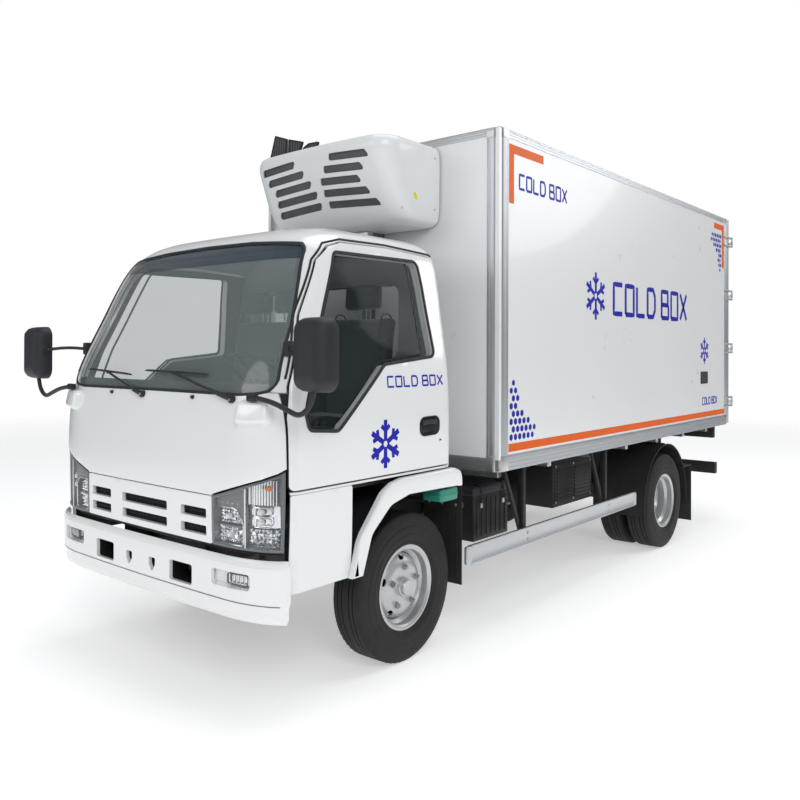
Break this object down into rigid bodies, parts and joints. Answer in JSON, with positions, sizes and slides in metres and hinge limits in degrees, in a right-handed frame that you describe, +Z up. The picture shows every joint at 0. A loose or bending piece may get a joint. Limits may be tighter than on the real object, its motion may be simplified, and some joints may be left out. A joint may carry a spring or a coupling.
{
  "type": "refrigerated truck",
  "caption": "Light cab-over refrigerated truck: tilting cab with doors, insulated box with rear doors and front-wall cooling unit, steered front and twin rear wheels.",
  "frame": {"origin": "on the ground, at the middle of the vehicle's overall length and width", "axes": "+X to the vehicle's left side, +Y to its rear, +Z up; the cab's nose points to -Y"},
  "size_m": [2.498, 6.04, 3.023],
  "materials": {
    "chassis_black": "satin black chassis paint",
    "exhaust_steel": "heat-dulled steel",
    "spare_rubber": "tyre rubber",
    "aluminium": "extruded aluminium, anodised",
    "black_plastic": "matt black rubber",
    "lamp_red": "red and amber lamp lens",
    "cab_white": "gloss white paint",
    "panel_white": "white glass-fibre sandwich panel",
    "zinc_steel": "zinc-plated steel",
    "unit_white": "white moulded cover",
    "dark_plastic": "grained charcoal plastic",
    "lamp_clear": "clear lens over a grey housing",
    "cab_glazing": "tinted safety glass",
    "teal_plastic": "translucent teal bottle",
    "trim_grey": "grained dark grey trim",
    "seat_cloth": "woven dark grey cloth",
    "tyre": "tyre rubber",
    "wheel_silver": "silver wheel paint"
  },
  "bodies": {
    "chassis": {"frame_rails": "chassis_black", "crossmembers": "chassis_black", "leaf_springs": "chassis_black", "front_axle": "chassis_black", "rear_axle": "chassis_black", "engine": "chassis_black", "fuel_tank": "chassis_black", "battery_box": "chassis_black", "muffler": "exhaust_steel", "spare_wheel": "spare_rubber", "side_guards": "aluminium", "underrun_bar": "chassis_black", "rear_mudguards": "black_plastic", "front_mud_flaps": "black_plastic", "tail_lamps": "lamp_red", "front_bumper": "cab_white", "floor_bearers": "chassis_black", "box_floor": "aluminium", "box_front_wall": "panel_white", "box_side_walls": "panel_white", "box_roof": "panel_white", "box_profiles": "aluminium", "evaporator": "zinc_steel", "cooling_unit": "unit_white"},
    "cab": {"cab_shell": "cab_white", "cab_floor": "chassis_black", "front_panel": "cab_white", "grille": "cab_white", "headlamps": "lamp_clear", "cab_glass": "cab_glazing", "wipers": "black_plastic", "mirror_left": "dark_plastic", "mirror_right": "dark_plastic", "front_flares": "cab_white", "washer_tank": "teal_plastic", "dashboard": "trim_grey", "seats": "seat_cloth"},
    "door_left": {"door_left": "cab_white", "door_glass_left": "cab_glazing"},
    "door_right": {"door_right": "cab_white", "door_glass_right": "cab_glazing"},
    "steering_wheel": {"steering_wheel": "trim_grey"},
    "knuckle_left": {"knuckle_left": "chassis_black"},
    "knuckle_right": {"knuckle_right": "chassis_black"},
    "tie_rod": {"tie_rod": "chassis_black"},
    "front_wheel_left": {"front_tyre_left": "tyre", "front_rim_left": "wheel_silver"},
    "front_wheel_right": {"front_tyre_right": "tyre", "front_rim_right": "wheel_silver"},
    "rear_wheels_left": {"rear_tyres_left": "tyre", "rear_rims_left": "wheel_silver"},
    "rear_wheels_right": {"rear_tyres_right": "tyre", "rear_rims_right": "wheel_silver"},
    "rear_door_left": {"rear_door_left": "panel_white", "lock_gear_left": "zinc_steel"},
    "rear_door_right": {"rear_door_right": "panel_white", "lock_gear_right": "zinc_steel"},
    "condenser_fan_left": {"condenser_fan_left": "dark_plastic"},
    "condenser_fan_right": {"condenser_fan_right": "dark_plastic"}
  },
  "joints": [
    {"name": "cab_tilt", "type": "hinge", "parent": "chassis", "child": "cab", "pos_m": [0, -2.855, 0.8], "axis": [1, 0, 0], "range_deg": [0, 45]},
    {"name": "door_left_swing", "type": "hinge", "parent": "cab", "child": "door_left", "pos_m": [0.934, -2.881, 1.3], "axis": [0, 0, -1], "range_deg": [0, 68]},
    {"name": "door_right_swing", "type": "hinge", "parent": "cab", "child": "door_right", "pos_m": [-0.934, -2.881, 1.3], "axis": [0, 0, 1], "range_deg": [0, 68]},
    {"name": "steering_wheel_turn", "type": "hinge", "parent": "cab", "child": "steering_wheel", "pos_m": [0.38, -2.54, 1.5], "axis": [0, 0.5, 0.866], "range_deg": [-540, 540]},
    {"name": "knuckle_left_steer", "type": "hinge", "parent": "chassis", "child": "knuckle_left", "pos_m": [0.655, -1.955, 0.3875], "axis": [0, 0, 1], "range_deg": [-35, 35]},
    {"name": "knuckle_right_steer", "type": "hinge", "parent": "chassis", "child": "knuckle_right", "pos_m": [-0.655, -1.955, 0.3875], "axis": [0, 0, 1], "range_deg": [-36, 36]},
    {"name": "tie_rod_swing", "type": "hinge", "parent": "knuckle_left", "child": "tie_rod", "pos_m": [0.655, -1.805, 0.3235], "axis": [0, 0, 1], "range_deg": [-36, 36]},
    {"name": "front_wheel_left_spin", "type": "hinge", "parent": "knuckle_left", "child": "front_wheel_left", "pos_m": [0.752, -1.955, 0.3875], "axis": [1, 0, 0], "continuous": true},
    {"name": "front_wheel_right_spin", "type": "hinge", "parent": "knuckle_right", "child": "front_wheel_right", "pos_m": [-0.752, -1.955, 0.3875], "axis": [1, 0, 0], "continuous": true},
    {"name": "rear_wheels_left_spin", "type": "hinge", "parent": "chassis", "child": "rear_wheels_left", "pos_m": [0.74, 1.405, 0.3875], "axis": [1, 0, 0], "continuous": true},
    {"name": "rear_wheels_right_spin", "type": "hinge", "parent": "chassis", "child": "rear_wheels_right", "pos_m": [-0.74, 1.405, 0.3875], "axis": [1, 0, 0], "continuous": true},
    {"name": "rear_door_left_swing", "type": "hinge", "parent": "chassis", "child": "rear_door_left", "pos_m": [1.008, 3.005, 1.927], "axis": [0, 0, -1], "range_deg": [0, 270]},
    {"name": "rear_door_right_swing", "type": "hinge", "parent": "chassis", "child": "rear_door_right", "pos_m": [-1.008, 3.005, 1.927], "axis": [0, 0, 1], "range_deg": [0, 270]},
    {"name": "condenser_fan_left_spin", "type": "hinge", "parent": "chassis", "child": "condenser_fan_left", "pos_m": [0.262, -1.532, 2.828], "axis": [0, 0, 1], "continuous": true},
    {"name": "condenser_fan_right_spin", "type": "hinge", "parent": "chassis", "child": "condenser_fan_right", "pos_m": [-0.262, -1.532, 2.828], "axis": [0, 0, 1], "continuous": true}
  ],
  "couplings": [
    {"joint": "knuckle_right_steer", "follows": "knuckle_left_steer", "ratio": 1},
    {"joint": "tie_rod_swing", "follows": "knuckle_left_steer", "ratio": -1},
    {"joint": "steering_wheel_turn", "follows": "knuckle_left_steer", "ratio": 15}
  ]
}
